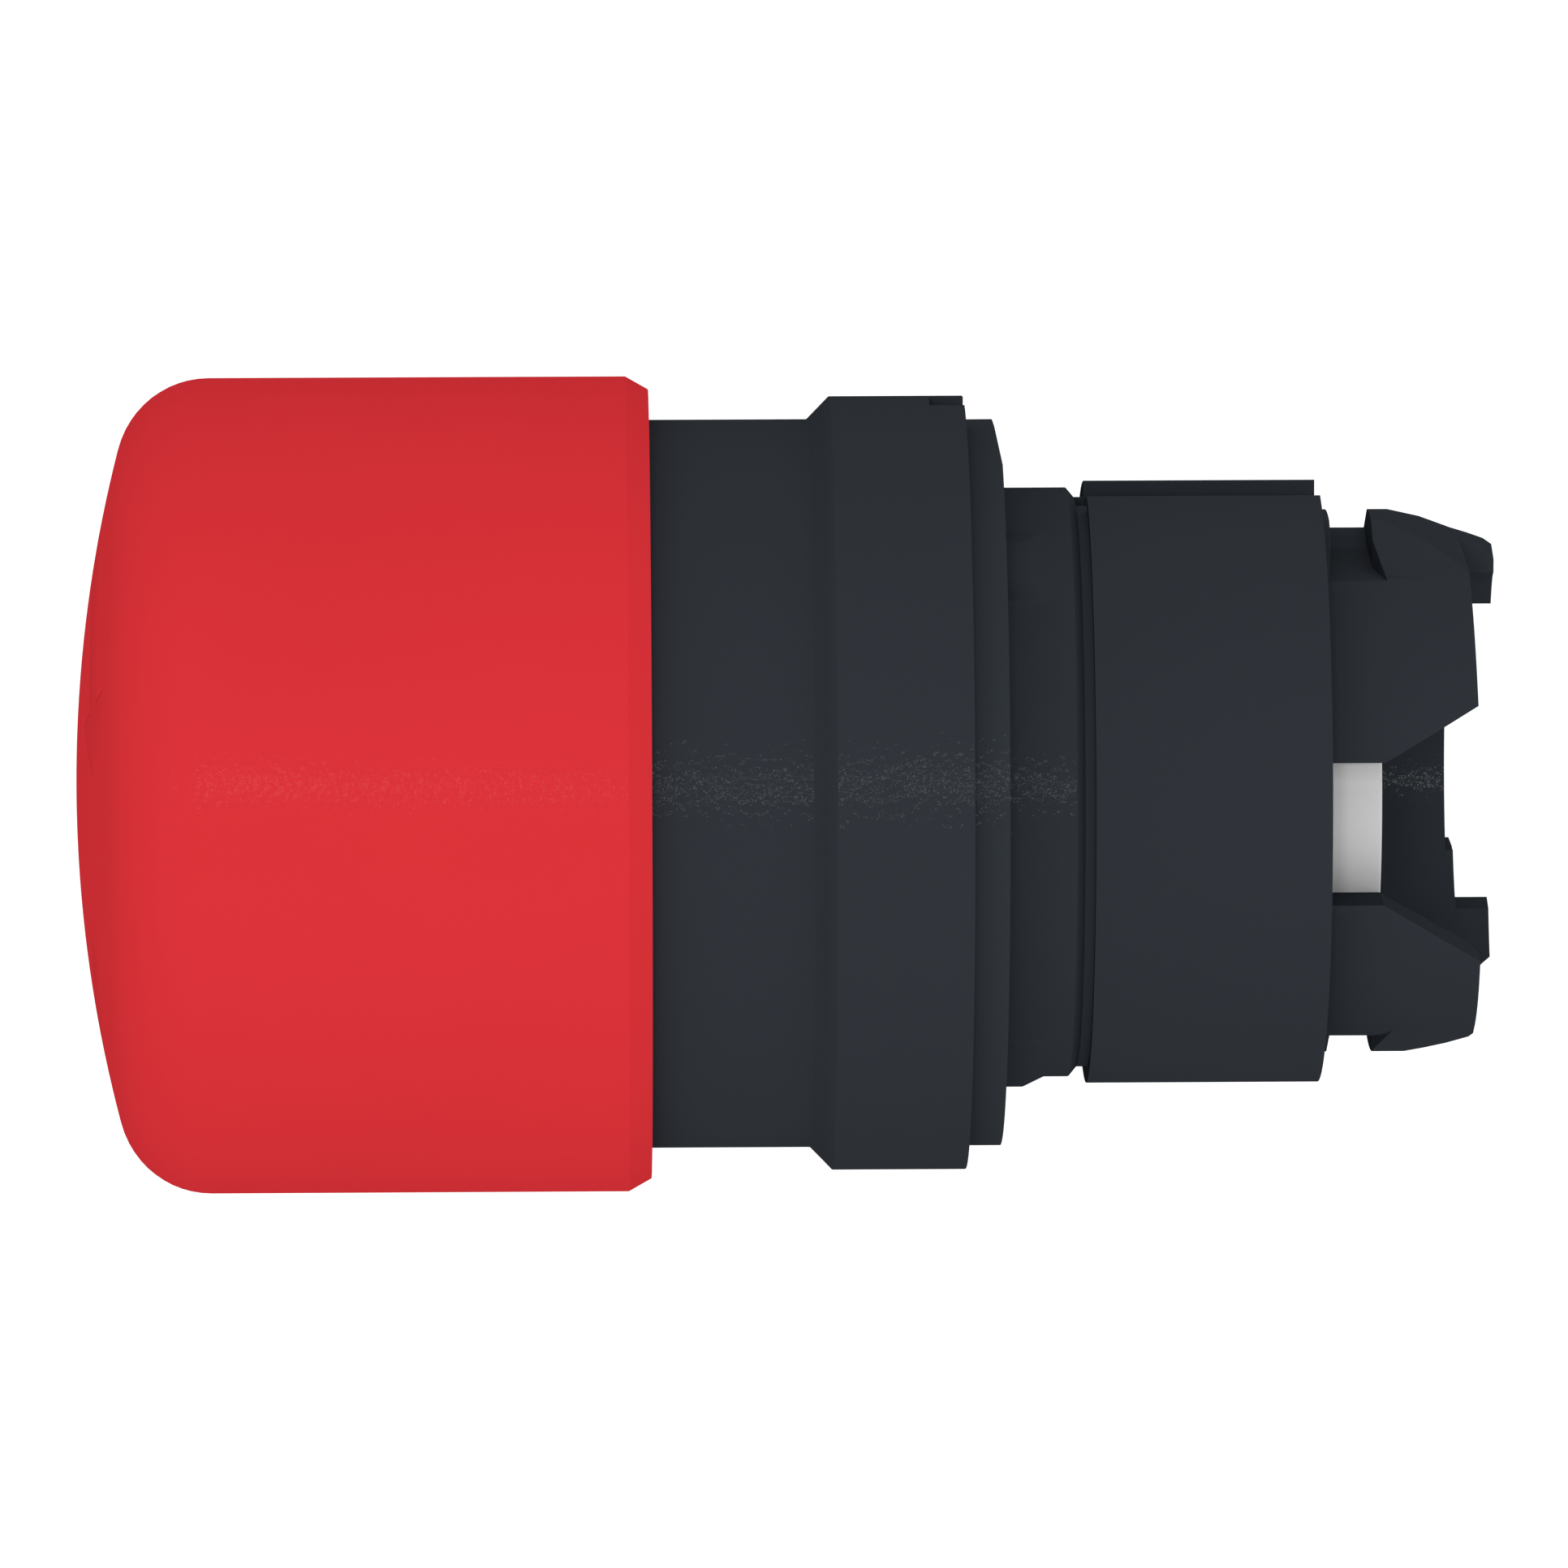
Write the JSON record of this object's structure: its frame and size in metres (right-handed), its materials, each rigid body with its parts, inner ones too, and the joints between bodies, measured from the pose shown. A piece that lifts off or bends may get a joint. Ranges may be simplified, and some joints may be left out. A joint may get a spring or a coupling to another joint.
{
  "type": "emergency stop button",
  "caption": "Red mushroom push button head for a round panel hole, latching when pressed and released by a turn, with bezel, gasket and bayonet barrel.",
  "frame": {"origin": "on the button's axis, in the plane where the gasket's rear face meets the front of the panel", "axes": "+Y along the axis, from the cap to the rear of the barrel; +Z towards the keyway at twelve o'clock; +X to the right as the operator sees it"},
  "size_m": [0.03, 0.0525, 0.03],
  "materials": {
    "cap_red": "satin",
    "arrow_red": "satin",
    "black_plastic": "fine matt grain",
    "black_rubber": "matt",
    "grey_plastic": "matt",
    "natural_plastic": "smooth",
    "spring_steel": "bright"
  },
  "bodies": {
    "housing": {"bezel_housing": "black_plastic", "wiper_seal": "black_rubber", "guide_bush": "natural_plastic", "panel_gasket": "black_rubber", "rear_barrel": "black_plastic", "latch_cover": "natural_plastic", "hairpin_latch": "spring_steel", "latch_plate": "natural_plastic", "spring_washer": "spring_steel", "housing_ring": "black_rubber", "return_spring": "spring_steel"},
    "slider": {"plunger": "grey_plastic", "spring_seat": "spring_steel", "turn_spring": "spring_steel"},
    "head": {"mushroom_cap": "cap_red", "turn_arrows": "arrow_red", "cap_snap_ring": "spring_steel", "stem": "natural_plastic", "spring_collar": "spring_steel", "plunger_washer": "spring_steel", "stem_clip": "spring_steel"}
  },
  "joints": [
    {"name": "head_press", "type": "slide", "parent": "housing", "child": "slider", "axis": [0, 1, 0], "range_m": [0, 0.0043], "stiffness_N_per_m": 1500, "springref_m": -0.003, "deforming": ["return_spring", "hairpin_latch"]},
    {"name": "head_turn", "type": "hinge", "parent": "slider", "child": "head", "pos_m": [0, 0, 0], "axis": [0, 1, 0], "range_deg": [0, 45], "stiffness_Nm_per_rad": 0.03, "springref_deg": -20.05, "deforming": ["turn_spring"]}
  ]
}
